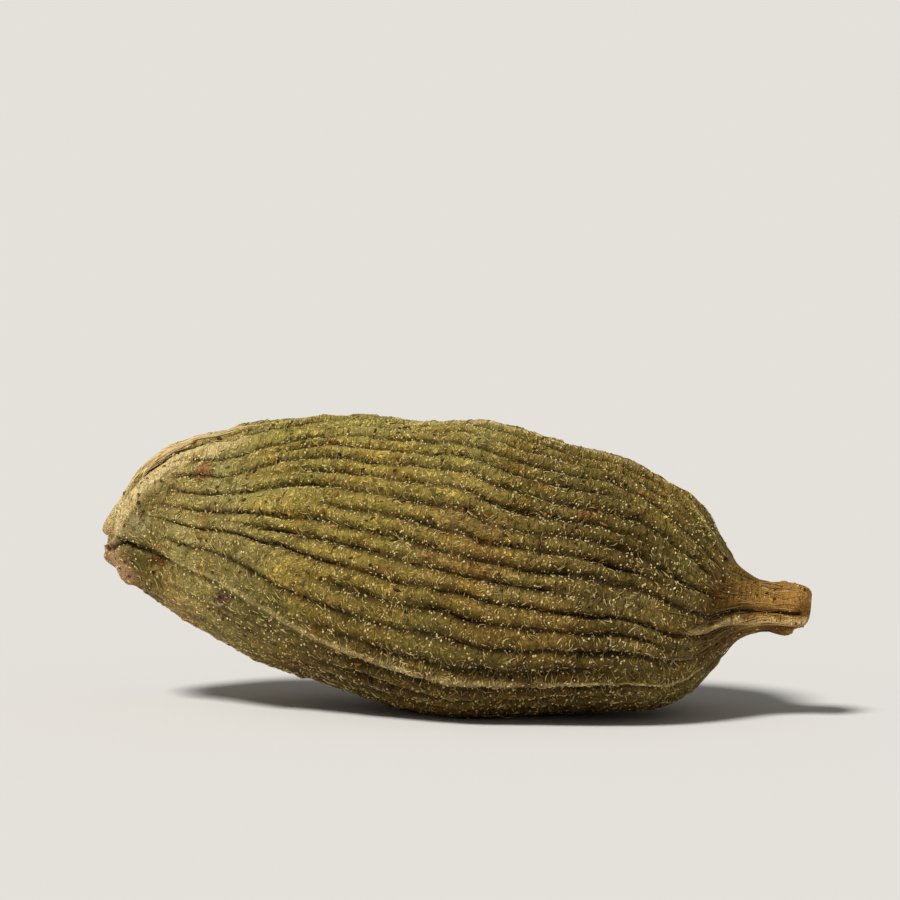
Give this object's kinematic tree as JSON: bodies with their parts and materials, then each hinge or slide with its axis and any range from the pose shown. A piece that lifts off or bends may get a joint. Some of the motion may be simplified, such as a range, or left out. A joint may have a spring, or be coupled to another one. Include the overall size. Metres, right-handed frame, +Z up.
{
  "type": "cardamom pod",
  "caption": "Dried cardamom pod: a ribbed, three-sided capsule with a beaked tip that splits along a seam, and a short cut stalk.",
  "frame": {"origin": "bottom centre of the pod's box, on the surface it lies on", "axes": "+X along the pod towards the cut stalk, -Y towards the face with the raised keel below it, +Z up"},
  "size_m": [0.0206, 0.0092, 0.0084],
  "materials": {
    "husk": "dry, matt, olive green to straw, fibrous husk"
  },
  "bodies": {
    "root": {"pod": "husk"}
  },
  "joints": []
}
